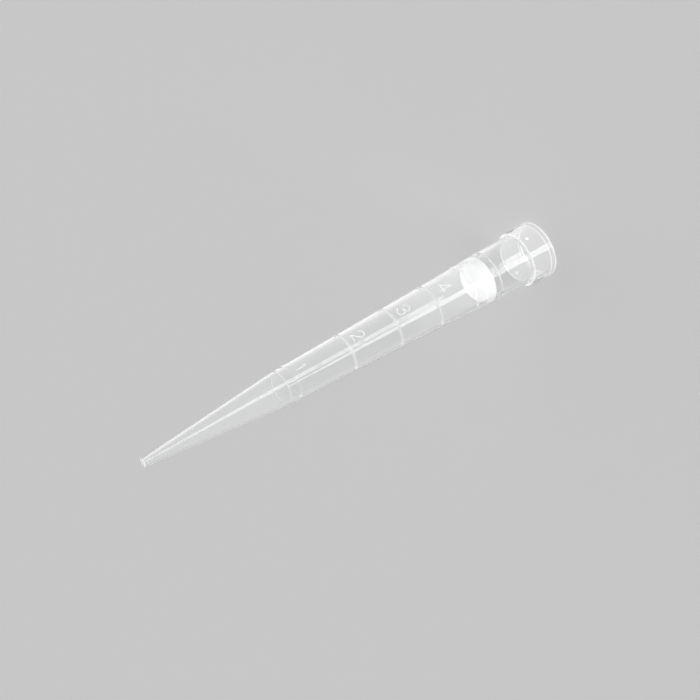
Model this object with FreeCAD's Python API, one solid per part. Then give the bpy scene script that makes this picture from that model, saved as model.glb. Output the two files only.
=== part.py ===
import FreeCAD, Part
import math
import os

# A graduated 5 ml filter tip for a hand pipette: one moulded transparent body with a
# porous filter plug pressed into its bore. It stands on its rim with the orifice up,
# because on its side it would roll.
#
# Millimetres, +Z up. The tip's axis is the Z axis, the rim stands at Z = 0, and the
# middle of the graduation bands faces -Y.

# Lengths of the four stretches of the body, from the rim up.
COLLAR_LENGTH = 7.2
NECK_LENGTH = 10.5
BARREL_LENGTH = 66.0
CONE_LENGTH = 40.3

# The seat that the pipette's nozzle is pressed into, and the lead-in at its mouth.
SEAT_RADIUS = 6.60
SEAT_LENGTH = 5.8
LEAD_IN_LENGTH = 1.2
LEAD_IN_DEPTH = 0.45

# The collar stands round the seat, and widens a little towards the rim.
COLLAR_WALL = 0.91
COLLAR_FLARE = 0.18

# The neck starts a little wider than the seat, and ends a little wider than the barrel.
NECK_OVER_SEAT = 0.37
NECK_OVER_BARREL = 0.12

# Outside radii of barrel and cone.
BARREL_BOTTOM_RADIUS = 6.54
KNEE_RADIUS = 4.63
ORIFICE_RADIUS = 1.12

# Walls of neck, barrel and cone, measured square to the axis.
NECK_WALL = 0.95
BARREL_BOTTOM_WALL = 0.97
KNEE_WALL = 0.51
ORIFICE_WALL = 0.45

# Rounded edges.
RIM_EDGE = 0.30
COLLAR_EDGE = 0.12
ORIFICE_EDGE = 0.12

# The raised ring between neck and barrel.
RING_WIDTH = 0.70
RING_RISE = 0.20

# Graduation bands: raised half rings at whole millilitres of the bore.
BAND_VOLUMES_ML = (1, 2, 3, 4, 5)
BAND_WIDTH = 0.95
BAND_RISE = 0.10
BAND_SWEEP = 180.0

# Two gate marks on the collar, one in line with the bands and one opposite.
GATE_RADIUS = 0.42
GATE_RISE = 0.15
GATE_BELOW_SHOULDER = 1.9

# The filter plug.
FILTER_ABOVE_RING = 1.4
FILTER_THICKNESS = 3.0
FILTER_CLEARANCE = 0.0

CUBIC_MM_PER_ML = 1000.0
FULL_TURN = 360.0
# How deep a rib or a gate mark is rooted in the wall that carries it.
ROOT = 0.25

# Heights and radii that follow from the sizes above.
SHOULDER = COLLAR_LENGTH
RING = SHOULDER + NECK_LENGTH
KNEE = RING + BARREL_LENGTH
ORIFICE = KNEE + CONE_LENGTH
SEAT_TOP = LEAD_IN_LENGTH + SEAT_LENGTH
COLLAR_RADIUS = SEAT_RADIUS + COLLAR_WALL
RIM_RADIUS = COLLAR_RADIUS + COLLAR_FLARE
NECK_BOTTOM_RADIUS = SEAT_RADIUS + NECK_OVER_SEAT
NECK_TOP_RADIUS = BARREL_BOTTOM_RADIUS + NECK_OVER_BARREL
NECK_BOTTOM_BORE = NECK_BOTTOM_RADIUS - NECK_WALL
NECK_TOP_BORE = NECK_TOP_RADIUS - NECK_WALL
BARREL_BOTTOM_BORE = BARREL_BOTTOM_RADIUS - BARREL_BOTTOM_WALL
KNEE_BORE = KNEE_RADIUS - KNEE_WALL
ORIFICE_BORE = ORIFICE_RADIUS - ORIFICE_WALL
FILTER_BOTTOM = RING + FILTER_ABOVE_RING
FILTER_TOP = FILTER_BOTTOM + FILTER_THICKNESS

AXIS_FOOT = FreeCAD.Vector(0, 0, 0)
UP = FreeCAD.Vector(0, 0, 1)
FRONT = FreeCAD.Vector(0, -1, 0)


def on_line(height, low_end, high_end):
    """Radius at a height on the straight line between two (radius, height) points."""
    share = (height - low_end[1]) / (high_end[1] - low_end[1])
    return low_end[0] + share * (high_end[0] - low_end[0])


def collar_radius(height):
    return on_line(height, (RIM_RADIUS, 0), (COLLAR_RADIUS, SHOULDER))


def barrel_radius(height):
    return on_line(height, (BARREL_BOTTOM_RADIUS, RING), (KNEE_RADIUS, KNEE))


def barrel_bore(height):
    return on_line(height, (BARREL_BOTTOM_BORE, RING), (KNEE_BORE, KNEE))


def frustum(length, radius_a, radius_b):
    return math.pi * length * (radius_a**2 + radius_a * radius_b + radius_b**2) / 3


def bore_volume(height):
    """What the bore holds between a height on the barrel and the orifice."""
    cone = frustum(CONE_LENGTH, KNEE_BORE, ORIFICE_BORE)
    return cone + frustum(KNEE - height, barrel_bore(height), KNEE_BORE)


def height_of_volume(volume):
    """The height on the barrel above which the bore holds a volume, found by halving."""
    low, high = RING, KNEE
    while high - low > 1e-6:
        middle = (low + high) / 2
        if bore_volume(middle) > volume:
            low = middle
        else:
            high = middle
    return (low + high) / 2


def revolve(profile, sweep=FULL_TURN):
    """Solid of revolution from (radius, height) points, its sweep centred on the front."""
    points = [FRONT * radius + UP * height for radius, height in profile]
    face = Part.Face(Part.makePolygon(points + points[:1]))
    solid = face.revolve(AXIS_FOOT, UP, sweep)
    solid.rotate(AXIS_FOOT, UP, -sweep / 2)
    return solid


def circles_at(shape, radius, height):
    """The circular edges of a shape with a given radius and height."""
    found = []
    for edge in shape.Edges:
        curve = edge.Curve
        if not isinstance(curve, Part.Circle):
            continue
        if abs(curve.Center.z - height) < 1e-4 and abs(curve.Radius - radius) < 1e-4:
            found.append(edge)
    return found


def outside():
    body = revolve([
        (0, 0),
        (RIM_RADIUS, 0),
        (COLLAR_RADIUS, SHOULDER),
        (NECK_BOTTOM_RADIUS, SHOULDER),
        (NECK_TOP_RADIUS, RING),
        (BARREL_BOTTOM_RADIUS, RING),
        (KNEE_RADIUS, KNEE),
        (ORIFICE_RADIUS, ORIFICE),
        (0, ORIFICE),
    ])
    body = body.makeFillet(RIM_EDGE, circles_at(body, RIM_RADIUS, 0))
    body = body.makeFillet(COLLAR_EDGE, circles_at(body, COLLAR_RADIUS, SHOULDER))
    return body.makeFillet(ORIFICE_EDGE, circles_at(body, ORIFICE_RADIUS, ORIFICE))


def bore():
    run_in = SEAT_RADIUS - NECK_BOTTOM_BORE
    return revolve([
        (0, 0),
        (SEAT_RADIUS + LEAD_IN_DEPTH, 0),
        (SEAT_RADIUS, LEAD_IN_LENGTH),
        (SEAT_RADIUS, SEAT_TOP),
        (NECK_BOTTOM_BORE, SEAT_TOP + run_in),
        (NECK_TOP_BORE, RING),
        (BARREL_BOTTOM_BORE, RING),
        (KNEE_BORE, KNEE),
        (ORIFICE_BORE, ORIFICE),
        (0, ORIFICE),
    ])


def rib(height, width, rise, sweep=FULL_TURN):
    """A low rib round the barrel with sloping flanks."""
    half_foot = width / 2
    half_crest = half_foot - rise
    low_foot = height - half_foot
    high_foot = height + half_foot
    crest = barrel_radius(height) + rise
    return revolve([
        (barrel_radius(low_foot) - ROOT, low_foot),
        (barrel_radius(low_foot), low_foot),
        (crest, height - half_crest),
        (crest, height + half_crest),
        (barrel_radius(high_foot), high_foot),
        (barrel_radius(high_foot) - ROOT, high_foot),
    ], sweep)


def graduation_bands():
    heights = [height_of_volume(volume * CUBIC_MM_PER_ML) for volume in BAND_VOLUMES_ML]
    on_barrel = [height for height in heights if height > RING + RING_WIDTH + BAND_WIDTH]
    return [rib(height, BAND_WIDTH, BAND_RISE, BAND_SWEEP) for height in on_barrel]


def gate_marks():
    marks = []
    height = SHOULDER - GATE_BELOW_SHOULDER
    for outward in (FRONT, -FRONT):
        foot = outward * (collar_radius(height) - ROOT) + UP * height
        stub = Part.makeCylinder(GATE_RADIUS, ROOT + GATE_RISE, foot, outward)
        crest = foot + outward * (ROOT + GATE_RISE)
        rim = [edge for edge in stub.Edges if edge.CenterOfMass.isEqual(crest, 1e-4)]
        marks.append(stub.makeFillet(GATE_RISE * 0.8, rim))
    return marks


def tip_body():
    ring = rib(RING, RING_WIDTH, RING_RISE)
    solid = outside().fuse([ring] + graduation_bands() + gate_marks())
    return solid.removeSplitter().cut(bore())


def filter_plug():
    return revolve([
        (0, FILTER_BOTTOM),
        (barrel_bore(FILTER_BOTTOM) - FILTER_CLEARANCE, FILTER_BOTTOM),
        (barrel_bore(FILTER_TOP) - FILTER_CLEARANCE, FILTER_TOP),
        (0, FILTER_TOP),
    ])


os.makedirs("parts", exist_ok=True)
tip_body().exportStep("parts/tip_body.step")
filter_plug().exportStep("parts/filter_plug.step")
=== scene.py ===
import math

import bmesh
import bpy
from mathutils import Matrix, Vector, noise


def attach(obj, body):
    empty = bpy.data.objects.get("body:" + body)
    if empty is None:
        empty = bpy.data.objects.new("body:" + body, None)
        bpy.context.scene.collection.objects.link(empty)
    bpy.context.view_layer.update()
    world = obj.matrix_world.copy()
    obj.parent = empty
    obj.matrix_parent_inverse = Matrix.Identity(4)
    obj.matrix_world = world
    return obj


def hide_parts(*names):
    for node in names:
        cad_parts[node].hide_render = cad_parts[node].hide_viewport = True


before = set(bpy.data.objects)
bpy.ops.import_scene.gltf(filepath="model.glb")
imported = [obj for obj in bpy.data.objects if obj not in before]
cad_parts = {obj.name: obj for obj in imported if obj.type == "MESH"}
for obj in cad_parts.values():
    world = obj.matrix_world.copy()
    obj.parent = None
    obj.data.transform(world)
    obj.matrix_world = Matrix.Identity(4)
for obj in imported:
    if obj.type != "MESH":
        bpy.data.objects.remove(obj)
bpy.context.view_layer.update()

MM = 0.001

# Heights above the rim and outside radii of the moulded body, in millimetres.
SHOULDER, RING, KNEE, ORIFICE = 7.2, 17.7, 83.7, 124.0
RIM_R, COLLAR_R = 7.69, 7.51
NECK_BOTTOM_R, NECK_TOP_R = 6.97, 6.66
BARREL_BOTTOM_R, KNEE_R, ORIFICE_R = 6.54, 4.63, 1.12

# The bore: a lead-in, the nozzle seat, and then walls that thin towards the orifice.
LEAD_IN_R, SEAT_R = 7.05, 6.60
LEAD_IN_TOP, SEAT_TOP = 1.2, 7.0
NECK_WALL, BARREL_WALL, KNEE_WALL, ORIFICE_WALL = 0.95, 0.97, 0.51, 0.45

# The bore steps in between neck and barrel, and the seat starts with a rounded edge: points
# as (out from the seat, up from the lead-in's top).
NECK_STEP = 0.02
SEAT_START = ((0.0, 0.12), (0.02, 0.0), (0.07, -0.14))

# Rounded edges, and how far the hazy line along the rim reaches up.
RIM_EDGE, SHOULDER_EDGE, ORIFICE_EDGE, ORIFICE_INNER_EDGE = 0.20, 0.12, 0.12, 0.06
RIM_LINE = 0.42

RING_WIDTH, RING_RISE = 0.42, 0.12
KNEE_RIDGE, KNEE_RISE = 0.16, 0.03

# Half-round bands at 1 to 5 ml. They end 90 degrees off the front, run out over the last two,
# and are hazier near their ends.
BAND_HEIGHTS = (80.961, 64.254, 49.881, 37.166, 25.699)
BAND_WIDTH, BAND_RISE = 0.95, 0.045
BAND_REACH, BAND_RUN_OUT, BAND_HAZY_END = 90.0, 2.0, 8

GATE_R, GATE_RISE, GATE_HEIGHT = 0.42, 0.15, 5.3
GATE_ROOT, GATE_TAPER = 0.12, 0.8

# The filter sinks a little into the wall that grips it, so that no air shows between them.
FILTER_BOTTOM, FILTER_TOP = 19.1, 22.1
FILTER_GRIP, FILTER_EDGE = 0.03, 0.10
FILTER_ROUGHNESS, FILTER_WAVES, FILTER_STEP = 0.03, 2.2, 0.2

# The figures lie on the rim's side of their bands, and are upright when the orifice points
# down. The gaps run from a band's middle to the foot of its figure.
FIGURE_HEIGHT, FIGURE_WIDTH = 3.3, 2.4
FIGURE_GAPS = (1.1, 2.0, 2.0, 2.6)
FIGURE_STROKE, FIGURE_RISE = 0.17, 0.05

# Steps in a full turn.
TURNS = 256

# The three finishes of the body, as the numbers of its materials.
POLISHED, HAZY_EDGE, HAZY_BAND = 0, 1, 2


def between(height, low, high):
    """Radius at a height on the straight line through two (radius, height) ends."""
    share = (height - low[1]) / (high[1] - low[1])
    return low[0] + share * (high[0] - low[0])


def collar_radius(height):
    return between(height, (RIM_R, 0), (COLLAR_R, SHOULDER))


def barrel_radius(height):
    return between(height, (BARREL_BOTTOM_R, RING), (KNEE_R, KNEE))


def bore_radius(height):
    return between(height, (BARREL_BOTTOM_R - BARREL_WALL, RING), (KNEE_R - KNEE_WALL, KNEE))


def arc(centre, radius, start, end, steps):
    """Points of a rounded edge round a (radius, height) centre, angles in degrees."""
    points = []
    for step in range(steps + 1):
        angle = math.radians(start + (end - start) * step / steps)
        across, up = radius * math.cos(angle), radius * math.sin(angle)
        points.append((centre[0] + across, centre[1] + up))
    return points


def held(points, near=0.1, longest=4.0):
    """The profile with extra points beside its corners, so that long faces shade straight."""
    firm = []
    for here, there in zip(points, points[1:]):
        length = math.dist(here, there)
        firm.append(here)
        if length < 4 * near:
            continue
        pieces = max(1, math.ceil((length - 2 * near) / longest))
        for step in range(pieces + 1):
            share = (near + (length - 2 * near) * step / pieces) / length
            firm.append(tuple(a + share * (b - a) for a, b in zip(here, there)))
    return firm + [points[-1]]


def turned(profile, closed=True):
    """A bmesh spun round the tip's axis from (radius, height) points in millimetres."""
    shape = bmesh.new()
    verts = [shape.verts.new((r * MM, 0, h * MM)) for r, h in profile]
    ends = verts[1:] + verts[:1] if closed else verts[1:]
    edges = [shape.edges.new(pair) for pair in zip(verts, ends)]
    bmesh.ops.spin(shape, geom=verts + edges, cent=(0, 0, 0), axis=(0, 0, 1),
                   angle=math.tau, steps=TURNS, use_merge=True)
    bmesh.ops.remove_doubles(shape, verts=shape.verts, dist=1e-7)
    bmesh.ops.recalc_face_normals(shape, faces=shape.faces)
    return shape


def finished(name, shape, *materials, smooth_below=28):
    """Turns a bmesh into a piece that rides with the tip."""
    mesh = bpy.data.meshes.new(name)
    shape.to_mesh(mesh)
    shape.free()
    for material in materials:
        mesh.materials.append(material)
    mesh.shade_smooth()
    mesh.set_sharp_from_angle(angle=math.radians(smooth_below))
    piece = bpy.data.objects.new(name, mesh)
    bpy.context.scene.collection.objects.link(piece)
    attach(piece, "root")
    return piece


# ---------------------------------------------------------------- materials

def node_material(name):
    material = bpy.data.materials.new(name)
    material.use_nodes = True
    tree = material.node_tree
    tree.nodes.clear()
    return material, tree


def clear_polypropylene(name, roughness, clearness, bump, collar_haze=0.0):
    """Clear moulded plastic with a faint grain, which lamps shine through.

    Collar haze makes it less clear from the shoulder down."""
    material, tree = node_material(name)
    new, link = tree.nodes.new, tree.links.new
    place = new("ShaderNodeTexCoord")
    flow = new("ShaderNodeMapping")
    flow.inputs["Scale"].default_value = (1, 1, 0.15)
    link(place.outputs["Object"], flow.inputs["Vector"])
    grain = new("ShaderNodeTexNoise")
    grain.inputs["Scale"].default_value = 900
    grain.inputs["Detail"].default_value = 2
    link(flow.outputs["Vector"], grain.inputs["Vector"])
    polish = new("ShaderNodeMapRange")
    polish.inputs["To Min"].default_value = roughness * 0.7
    polish.inputs["To Max"].default_value = roughness * 1.3
    link(grain.outputs["Fac"], polish.inputs["Value"])
    ripple = new("ShaderNodeBump")
    ripple.inputs["Strength"].default_value = bump
    ripple.inputs["Distance"].default_value = 0.00002
    link(grain.outputs["Fac"], ripple.inputs["Height"])
    plastic = new("ShaderNodeBsdfPrincipled")
    plastic.inputs["Base Color"].default_value = (0.985, 0.99, 0.99, 1)
    plastic.inputs["IOR"].default_value = 1.49
    if collar_haze:
        heights = new("ShaderNodeSeparateXYZ")
        link(place.outputs["Object"], heights.inputs["Vector"])
        haze = new("ShaderNodeMapRange")
        haze.inputs["From Min"].default_value = (SHOULDER - 0.6) * MM
        haze.inputs["From Max"].default_value = SHOULDER * MM
        haze.inputs["To Min"].default_value = clearness - collar_haze
        haze.inputs["To Max"].default_value = clearness
        link(heights.outputs["Z"], haze.inputs["Value"])
        link(haze.outputs["Result"], plastic.inputs["Transmission Weight"])
    else:
        plastic.inputs["Transmission Weight"].default_value = clearness
    link(polish.outputs["Result"], plastic.inputs["Roughness"])
    link(ripple.outputs["Normal"], plastic.inputs["Normal"])
    path = new("ShaderNodeLightPath")
    lit_through = new("ShaderNodeBsdfTransparent")
    lit_through.inputs["Color"].default_value = (0.93, 0.93, 0.93, 1)
    either = new("ShaderNodeMixShader")
    out = new("ShaderNodeOutputMaterial")
    link(path.outputs["Is Shadow Ray"], either.inputs["Fac"])
    link(plastic.outputs["BSDF"], either.inputs[1])
    link(lit_through.outputs["BSDF"], either.inputs[2])
    link(either.outputs["Shader"], out.inputs["Surface"])
    return material


def sintered_filter():
    """Matt white porous plastic: fused grains with open pores between them."""
    material, tree = node_material("white_sintered_filter")
    new, link = tree.nodes.new, tree.links.new
    place = new("ShaderNodeTexCoord")
    grains = new("ShaderNodeTexVoronoi")
    grains.inputs["Scale"].default_value = 5200
    link(place.outputs["Object"], grains.inputs["Vector"])
    clouds = new("ShaderNodeTexNoise")
    clouds.inputs["Scale"].default_value = 1500
    link(place.outputs["Object"], clouds.inputs["Vector"])
    tone = new("ShaderNodeMapRange")
    tone.inputs["To Min"].default_value = 0.90
    tone.inputs["To Max"].default_value = 0.96
    link(clouds.outputs["Fac"], tone.inputs["Value"])
    white = new("ShaderNodeCombineColor")
    for channel in ("Red", "Green", "Blue"):
        link(tone.outputs["Result"], white.inputs[channel])
    pores = new("ShaderNodeBump")
    pores.inputs["Strength"].default_value = 0.35
    pores.inputs["Distance"].default_value = 0.00008
    link(grains.outputs["Distance"], pores.inputs["Height"])
    matt = new("ShaderNodeBsdfPrincipled")
    matt.inputs["Roughness"].default_value = 0.9
    matt.inputs["Specular IOR Level"].default_value = 0.2
    link(white.outputs["Color"], matt.inputs["Base Color"])
    link(pores.outputs["Normal"], matt.inputs["Normal"])
    out = new("ShaderNodeOutputMaterial")
    link(matt.outputs["BSDF"], out.inputs["Surface"])
    return material


# ---------------------------------------------------------------- the moulded body

# A band's section: (place along its width, share of its rise).
BAND_SECTION = ((-0.50, 0.0), (-0.42, 0.12), (-0.32, 0.46), (-0.20, 0.83), (-0.07, 1.0),
                (0.07, 1.0), (0.20, 0.83), (0.32, 0.46), (0.42, 0.12), (0.50, 0.0))


def outer_profile():
    points = [(LEAD_IN_R, 0.0)]
    points += arc((RIM_R - RIM_EDGE, RIM_EDGE), RIM_EDGE, -90, 0, 8)
    points.append((collar_radius(RIM_LINE), RIM_LINE))
    points += arc((COLLAR_R - SHOULDER_EDGE, SHOULDER - SHOULDER_EDGE), SHOULDER_EDGE, 0, 90, 6)
    points.append((NECK_BOTTOM_R, SHOULDER))
    half = RING_WIDTH / 2
    neck_end = between(RING - half, (NECK_BOTTOM_R, SHOULDER), (NECK_TOP_R, RING))
    points.append((neck_end, RING - half))
    crest, crest_round = barrel_radius(RING) + RING_RISE, half * 0.7
    points += arc((crest - crest_round, RING), crest_round, -50, 50, 10)
    points.append((barrel_radius(RING + half), RING + half))
    for height in reversed(BAND_HEIGHTS):
        for along, _ in BAND_SECTION:
            level = height + along * BAND_WIDTH
            points.append((barrel_radius(level), level))
    points.append((barrel_radius(KNEE - KNEE_RIDGE), KNEE - KNEE_RIDGE))
    points.append((KNEE_R + KNEE_RISE, KNEE))
    slope = (ORIFICE_R - KNEE_R) / (ORIFICE - KNEE)
    points.append((KNEE_R + slope * KNEE_RIDGE, KNEE + KNEE_RIDGE))
    points.append((ORIFICE_R - slope * ORIFICE_EDGE, ORIFICE - ORIFICE_EDGE))
    points += arc((ORIFICE_R - ORIFICE_EDGE, ORIFICE - ORIFICE_EDGE), ORIFICE_EDGE, 30, 90, 3)
    return points


def bore_profile():
    neck_bottom, neck_top = NECK_BOTTOM_R - NECK_WALL, NECK_TOP_R - NECK_WALL
    return [
        (ORIFICE_R - ORIFICE_WALL + ORIFICE_INNER_EDGE, ORIFICE),
        (ORIFICE_R - ORIFICE_WALL, ORIFICE - ORIFICE_INNER_EDGE),
        (KNEE_R - KNEE_WALL, KNEE),
        (BARREL_BOTTOM_R - BARREL_WALL, RING),
        (neck_top, RING - NECK_STEP),
        (neck_bottom, SEAT_TOP + SEAT_R - neck_bottom),
        (SEAT_R, SEAT_TOP),
        *((SEAT_R + out, LEAD_IN_TOP + up) for out, up in SEAT_START),
    ]


def band_share(level):
    """How far a point at a height stands out in a band, from 0 to 1."""
    for height in BAND_HEIGHTS:
        for along, share in BAND_SECTION:
            if abs(level - height - along * BAND_WIDTH) < 1e-4:
                return share
    return 0.0


def finish_of(radius, level, off_front):
    """Which finish a spot of the body has. The first band is polished but for its ends.

    The small limits take in the faces beside each edge."""
    outside = radius > bore_radius(level) + 0.3
    if level > KNEE:
        outside = radius > between(level, (KNEE_R, KNEE), (ORIFICE_R, ORIFICE)) - 0.05
    if level < RING - 0.6:
        outside = radius > NECK_TOP_R - 0.1
    for number, height in enumerate(BAND_HEIGHTS, start=1):
        if outside and off_front < BAND_REACH and abs(level - height) < 0.45 * BAND_WIDTH:
            if off_front > BAND_REACH - BAND_HAZY_END:
                return HAZY_EDGE
            return HAZY_BAND if number > 1 else POLISHED
    if outside and (abs(level - KNEE) < KNEE_RIDGE or abs(level - RING) < 0.5 * RING_WIDTH):
        return HAZY_BAND
    on_shoulder = abs(level - SHOULDER) < 0.13 and radius > NECK_BOTTOM_R + 0.02
    on_rim = level < RIM_LINE and radius > RIM_R - 0.12
    on_seat_start = abs(level - LEAD_IN_TOP) < 0.15 and radius < SEAT_R + 0.1
    on_orifice = (level > ORIFICE - ORIFICE_EDGE - 0.01
                  and radius > ORIFICE_R - ORIFICE_WALL + ORIFICE_INNER_EDGE)
    return HAZY_EDGE if on_shoulder or on_rim or on_seat_start or on_orifice else POLISHED


def moulded_body(polished, edges, bands):
    """The clear body: a spun shell, its bands pushed out of the front half."""
    around = outer_profile() + bore_profile()
    shape = turned(held(around + around[:1])[:-1])
    for vert in shape.verts:
        radius = math.hypot(vert.co.x, vert.co.y)
        level = vert.co.z / MM
        share = band_share(level)
        if not share or radius < (barrel_radius(level) - 0.1) * MM:
            continue
        off_front = math.degrees(math.acos(max(-1, min(1, -vert.co.y / radius))))
        run_out = max(0.0, min(1.0, (BAND_REACH - off_front) / BAND_RUN_OUT))
        grown = (radius + share * run_out * BAND_RISE * MM) / radius
        vert.co.x *= grown
        vert.co.y *= grown
    for face in shape.faces:
        middle = face.calc_center_median() / MM
        radius = math.hypot(middle.x, middle.y)
        off_front = math.degrees(math.acos(-middle.y / radius))
        face.material_index = finish_of(radius, middle.z, off_front)
    piece = finished("tip_body_clear", shape, polished, edges, bands)
    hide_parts("tip_body")


def gate_marks(material):
    """Two low buttons where the plastic was fed in."""
    shape = bmesh.new()
    seat = collar_radius(GATE_HEIGHT)
    for side in (-1, 1):
        button = bmesh.ops.create_cone(
            shape, cap_ends=True, segments=32, radius1=GATE_R * MM,
            radius2=GATE_R * GATE_TAPER * MM, depth=(GATE_RISE + GATE_ROOT) * MM)["verts"]
        turn = Matrix.Rotation(math.radians(90 if side < 0 else -90), 4, "X")
        out = Vector((0, side * (seat + (GATE_RISE - GATE_ROOT) / 2), GATE_HEIGHT)) * MM
        bmesh.ops.transform(shape, matrix=Matrix.Translation(out) @ turn, verts=button)
    bmesh.ops.recalc_face_normals(shape, faces=shape.faces)
    piece = finished("gate_marks", shape, material, smooth_below=50)


# Strokes of the figures in a box one unit wide and high, as runs of points.
FIGURE_STROKES = {
    "1": (((0.30, 0.80), (0.42, 0.87), (0.55, 1.0)), ((0.55, 1.0), (0.55, 0.5), (0.55, 0.0))),
    "2": (((0.08, 0.74), (0.14, 0.96), (0.50, 1.04), (0.90, 0.94), (0.90, 0.66), (0.66, 0.42),
           (0.05, 0.0)),
          ((0.05, 0.0), (0.50, 0.0), (0.95, 0.0))),
    "3": (((0.08, 0.80), (0.20, 1.02), (0.62, 1.05), (0.90, 0.90), (0.84, 0.60), (0.40, 0.54)),
          ((0.40, 0.54), (0.86, 0.52), (1.00, 0.28), (0.84, 0.00), (0.30, -0.07),
           (0.03, 0.20))),
    "4": (((0.72, 0.0), (0.72, 0.5), (0.72, 1.0)), ((0.72, 1.0), (0.40, 0.64), (0.02, 0.28)),
          ((0.02, 0.28), (0.50, 0.28), (1.0, 0.28))),
}


def on_barrel(across, level, depth):
    """A point on the barrel: across it from the front's middle, at a height, sunk by a depth."""
    radius = barrel_radius(level)
    angle = -math.pi / 2 - across / radius
    reach = radius - depth
    return Vector((reach * math.cos(angle), reach * math.sin(angle), level)) * MM


def moulded_figure(digit, band_height, gap, material):
    """A raised figure of round strokes, sunk into the barrel but for its rise."""
    curve = bpy.data.curves.new("figure_" + digit, "CURVE")
    curve.dimensions = "3D"
    curve.bevel_depth = FIGURE_STROKE * MM
    curve.bevel_resolution = 4
    curve.use_fill_caps = True
    base = band_height - gap
    for run in FIGURE_STROKES[digit]:
        line = curve.splines.new("NURBS")
        line.points.add(len(run) - 1)
        for point, (x, y) in zip(line.points, run):
            spot = on_barrel((x - 0.5) * FIGURE_WIDTH, base - y * FIGURE_HEIGHT,
                             FIGURE_STROKE - FIGURE_RISE)
            point.co = (*spot, 1)
        line.order_u = 3
        line.use_endpoint_u = True
        line.resolution_u = 8
    drawn = bpy.data.objects.new("drawn_figure", curve)
    bpy.context.scene.collection.objects.link(drawn)
    mesh = bpy.data.meshes.new_from_object(drawn)
    bpy.data.objects.remove(drawn)
    shape = bmesh.new()
    shape.from_mesh(mesh)
    bpy.data.meshes.remove(mesh)
    bmesh.ops.remove_doubles(shape, verts=shape.verts, dist=1e-7)
    bmesh.ops.recalc_face_normals(shape, faces=shape.faces)
    piece = finished("figure_" + digit, shape, material, smooth_below=60)


def porous_filter(material):
    """The white plug. The steps up its side carry its roughness."""
    edge = FILTER_EDGE
    low, high = bore_radius(FILTER_BOTTOM) + FILTER_GRIP, bore_radius(FILTER_TOP) + FILTER_GRIP
    levels = [FILTER_BOTTOM + edge + FILTER_STEP * step for step in range(15)]
    side = [(between(level, (low, FILTER_BOTTOM), (high, FILTER_TOP)), level)
            for level in levels if level < FILTER_TOP - edge]
    shape = turned([
        (0, FILTER_BOTTOM),
        (low - edge, FILTER_BOTTOM),
        *side,
        (high, FILTER_TOP - edge),
        (high - edge, FILTER_TOP),
        (0, FILTER_TOP),
    ], closed=False)
    for vert in shape.verts:
        radius = math.hypot(vert.co.x, vert.co.y) / MM
        if radius > low - 0.5 * edge:
            rough = noise.noise(vert.co / MM * FILTER_WAVES) * FILTER_ROUGHNESS
            vert.co.x *= 1 + rough / radius
            vert.co.y *= 1 + rough / radius
    piece = finished("filter_plug_white", shape, material)
    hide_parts("filter_plug")


# ---------------------------------------------------------------- studio

FLOOR_GREY = 0.571


def pale_floor():
    shape = bmesh.new()
    bmesh.ops.create_circle(shape, cap_ends=True, segments=96, radius=6.0)
    mesh = bpy.data.meshes.new("floor")
    shape.to_mesh(mesh)
    shape.free()
    material, tree = node_material("pale_floor")
    new, link = tree.nodes.new, tree.links.new
    matt = new("ShaderNodeBsdfDiffuse")
    matt.inputs["Color"].default_value = (FLOOR_GREY, FLOOR_GREY, FLOOR_GREY, 1)
    out = new("ShaderNodeOutputMaterial")
    link(matt.outputs["BSDF"], out.inputs["Surface"])
    mesh.materials.append(material)
    floor = bpy.data.objects.new("floor", mesh)
    bpy.context.scene.collection.objects.link(floor)
    floor.visible_glossy = False
    floor.visible_transmission = False


# What gloss and clear plastic see round the tip: (bearing in degrees, brightness). Bearing 0
# points at the camera, and it grows counter-clockwise seen from above.
SURROUNDINGS = (
    (-180, 0.66), (-165, 0.63), (-145, 0.68), (-125, 0.55), (-105, 0.56), (-85, 0.62),
    (85, 0.62), (100, 0.58), (115, 0.75), (135, 0.95), (150, 1.12), (165, 0.82), (180, 0.66),
)
# Steeply down, and from the horizon up, other levels take over between these climbs.
STEEP_CLIMBS, STEEP_LEVEL = (-42, -52), 0.62
UPPER_CLIMBS, UPPER_LEVEL = (-4, 12), 0.8

# Cards are a window of bearing and one of climb: (from, to, how softly it fades).
# The softbox's upper edge falls away to both sides like a gable.
SOFTBOX, SOFTBOX_LEVEL = ((-25, 0.3, 0.7), (-48, -19.2, 0.4)), 3.2
GABLE_BEARING, GABLE_FALL = -13.8, 0.57

# Darker cards. The back card lies to both sides, and the low card all round.
SIDE_CARD, SIDE_CARD_DIMS = ((150, 176, 5), (-23.3, -5, 0.5)), 0.15
BACK_CARD, BACK_CARD_DIMS = ((168, 200, 6), (-28.3, -23.5, 0.5)), 0.1
LOW_CARD, LOW_CARD_DIMS = (-31.45, -30.3, 0.12), 0.18
NECK_CARD, NECK_CARD_DIMS = ((112, 160, 6), (-32.4, -29.7, 0.3)), 0.2

# What matt surfaces get straight from the studio: a plain level, and soft light from low down.
PLAIN_LEVEL = 0.295
LOW_GLOW, LOW_GLOW_LEVEL = (0, 30, 3), 1.4
SIDE_GLOW = ((40, 170, 10), (0, 40, 3))

# What they gather through clear plastic: it fades out between these climbs.
GATHERED_CLIMBS, GATHERED_LEVEL = (14, 24), 1.15

CAMERA_AZIMUTH = -27.5
CAMERA_BEARING = -90.0 + CAMERA_AZIMUTH


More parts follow.
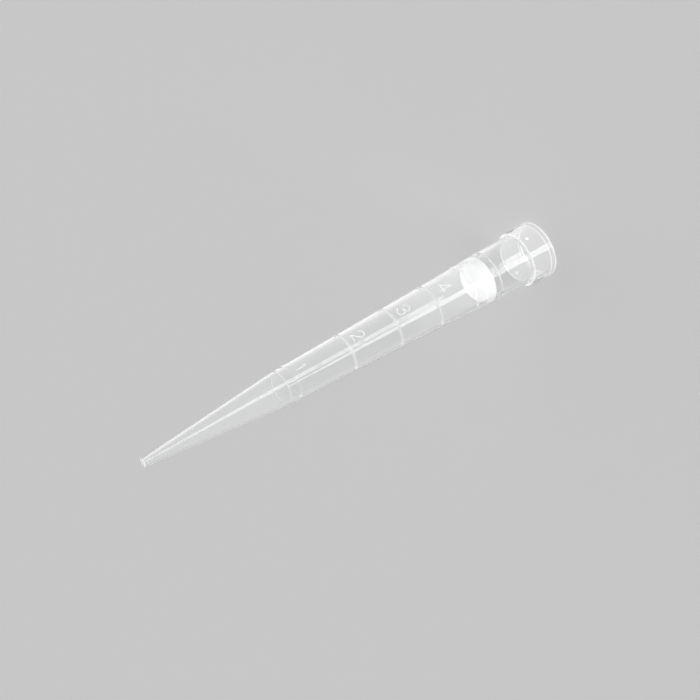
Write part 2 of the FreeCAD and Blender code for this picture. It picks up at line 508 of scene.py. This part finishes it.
def studio_world():
    """Surroundings that gloss and clear plastic see, and plainer light for matt surfaces."""
    world = bpy.data.worlds.new("studio")
    bpy.context.scene.world = world
    world.use_nodes = True
    tree = world.node_tree
    tree.nodes.clear()
    new, link = tree.nodes.new, tree.links.new

    def feed(socket, value):
        """Gives a socket a number, or what another node puts out."""
        if isinstance(value, (int, float)):
            socket.default_value = value
        else:
            link(value, socket)

    def maths(operation, *values):
        node = new("ShaderNodeMath")
        node.operation = operation
        for socket, value in zip(node.inputs, values):
            feed(socket, value)
        return node.outputs[0]

    def fade(value, start, end, first=0.0, last=1.0, shape="SMOOTHSTEP"):
        """Goes from a first level to a last one while the value goes from start to end."""
        node = new("ShaderNodeMapRange")
        node.interpolation_type = shape
        link(value, node.inputs["Value"])
        node.inputs["From Min"].default_value = start
        node.inputs["From Max"].default_value = end
        node.inputs["To Min"].default_value = first
        node.inputs["To Max"].default_value = last
        return node.outputs["Result"]

    def window(value, low, high, soft):
        """1 between two limits, fading out over soft."""
        up = fade(value, low - soft, low + soft)
        down = fade(value, high - soft, high + soft, 1.0, 0.0)
        return maths("MULTIPLY", up, down)

    def blend(share, first, second):
        """The first where the share is 0, and the second where it is 1."""
        node = new("ShaderNodeMix")
        node.data_type = "FLOAT"
        link(share, node.inputs["Factor"])
        feed(node.inputs["A"], first)
        feed(node.inputs["B"], second)
        return node.outputs["Result"]

    place = new("ShaderNodeTexCoord")
    axes = new("ShaderNodeSeparateXYZ")
    link(place.outputs["Generated"], axes.inputs["Vector"])
    bearing = maths("ARCTAN2", axes.outputs["Y"], axes.outputs["X"])
    bearing = maths("MULTIPLY", bearing, 180 / math.pi)
    bearing = maths("SUBTRACT", bearing, CAMERA_BEARING)
    bearing = maths("WRAP", bearing, 180.0, -180.0)
    climb = maths("MULTIPLY", maths("ARCSINE", axes.outputs["Z"]), 180 / math.pi)

    spread = maths("DIVIDE", maths("ADD", bearing, 180.0), 360.0)
    ramp = new("ShaderNodeValToRGB")
    link(spread, ramp.inputs["Fac"])
    stops = ramp.color_ramp.elements
    while len(stops) > 1:
        stops.remove(stops[-1])
    for index, (angle, bright) in enumerate(SURROUNDINGS):
        stop = stops[0] if index == 0 else stops.new((angle + 180) / 360)
        stop.position = (angle + 180) / 360
        stop.color = (bright, bright, bright, 1)

    def card(towards, limits):
        return maths("MULTIPLY", window(towards, *limits[0]), window(climb, *limits[1]))

    def dimmed(place, dims):
        return maths("SUBTRACT", 1.0, maths("MULTIPLY", place, dims))

    aside = maths("ABSOLUTE", maths("ADD", bearing, -GABLE_BEARING))
    under_gable = maths("ADD", climb, maths("MULTIPLY", aside, GABLE_FALL))
    softbox = maths("MULTIPLY", window(bearing, *SOFTBOX[0]), window(under_gable, *SOFTBOX[1]))
    shaded = dimmed(card(bearing, SIDE_CARD), SIDE_CARD_DIMS)
    for darker in (
        dimmed(card(maths("ABSOLUTE", bearing), BACK_CARD), BACK_CARD_DIMS),
        dimmed(window(climb, *LOW_CARD), LOW_CARD_DIMS),
        dimmed(card(bearing, NECK_CARD), NECK_CARD_DIMS),
    ):
        shaded = maths("MULTIPLY", shaded, darker)
    plain = maths("MULTIPLY", ramp.outputs["Color"], shaded)
    lit = maths("ADD", plain, maths("MULTIPLY", softbox, SOFTBOX_LEVEL))
    around = blend(fade(climb, *STEEP_CLIMBS), lit, STEEP_LEVEL)
    seen = blend(fade(climb, *UPPER_CLIMBS), around, UPPER_LEVEL)

    # Light that a matt surface gathers through clear plastic has a level of its own.
    path = new("ShaderNodeLightPath")
    gathering = maths("GREATER_THAN", path.outputs["Diffuse Depth"], 0.5)
    gathered = fade(climb, *GATHERED_CLIMBS, GATHERED_LEVEL, 0.0, shape="LINEAR")
    seen = blend(gathering, seen, gathered)

    low_glow = maths("MULTIPLY", window(climb, *LOW_GLOW), LOW_GLOW_LEVEL)
    glow = maths("ADD", low_glow, card(bearing, SIDE_GLOW))
    through = maths("MAXIMUM", path.outputs["Is Glossy Ray"], path.outputs["Is Transmission Ray"])
    level = blend(through, maths("ADD", PLAIN_LEVEL, glow), seen)
    level = blend(path.outputs["Is Camera Ray"], level, FLOOR_GREY)
    light = new("ShaderNodeBackground")
    link(level, light.inputs["Color"])
    out = new("ShaderNodeOutputWorld")
    link(light.outputs["Background"], out.inputs["Surface"])


def soft_sun(name, bearing, climb, strength, spread):
    """A far lamp: bearing from the camera's side of the tip, climb above the floor, in degrees."""
    lamp = bpy.data.lights.new(name, "SUN")
    lamp.energy = strength
    lamp.angle = math.radians(spread)
    holder = bpy.data.objects.new(name, lamp)
    bpy.context.scene.collection.objects.link(holder)
    turn = math.radians(CAMERA_BEARING + bearing)
    rise = math.radians(climb)
    flat = math.cos(rise)
    towards = Vector((math.cos(turn) * flat, math.sin(turn) * flat, math.sin(rise)))
    holder.rotation_euler = towards.to_track_quat("Z", "Y").to_euler()
    holder.visible_transmission = False


def studio_camera():
    """Looks at the middle of the tip from above its front left, rolled over on its side."""
    aim = Vector((0.0001, -0.00005, 0.0622))
    distance, climb, roll = 0.4728, 25.65, -118.56
    camera = bpy.data.cameras.new("camera")
    camera.lens = 97.35
    camera.sensor_width = 36
    camera.clip_start = 0.01
    holder = bpy.data.objects.new("camera", camera)
    bpy.context.scene.collection.objects.link(holder)
    turn = (Matrix.Rotation(math.radians(CAMERA_AZIMUTH), 4, "Z")
            @ Matrix.Rotation(math.radians(90 - climb), 4, "X")
            @ Matrix.Rotation(math.radians(roll), 4, "Z"))
    holder.matrix_world = Matrix.Translation(aim) @ turn @ Matrix.Translation((0, 0, distance))
    bpy.context.scene.camera = holder


clear = clear_polypropylene(
    "clear_polypropylene", roughness=0.012, clearness=0.99, bump=0.008, collar_haze=0.03)
marked = clear_polypropylene("frosted_edges", roughness=0.5, clearness=0.35, bump=0.2)
banded = clear_polypropylene("frosted_bands", roughness=0.35, clearness=0.85, bump=0.2)
moulded_body(clear, marked, banded)
gate_marks(marked)
for number, (height, gap) in enumerate(zip(BAND_HEIGHTS, FIGURE_GAPS), start=1):
    moulded_figure(str(number), height, gap, banded)
porous_filter(sintered_filter())

pale_floor()
studio_world()
soft_sun("key", bearing=-15, climb=30, strength=1.3, spread=30)
studio_camera()
bpy.context.scene.view_settings.view_transform = "Standard"

# Light runs a long way inside a clear wall before it comes out again.
paths = bpy.context.scene.cycles
paths.max_bounces, paths.glossy_bounces, paths.transmission_bounces = 32, 24, 32
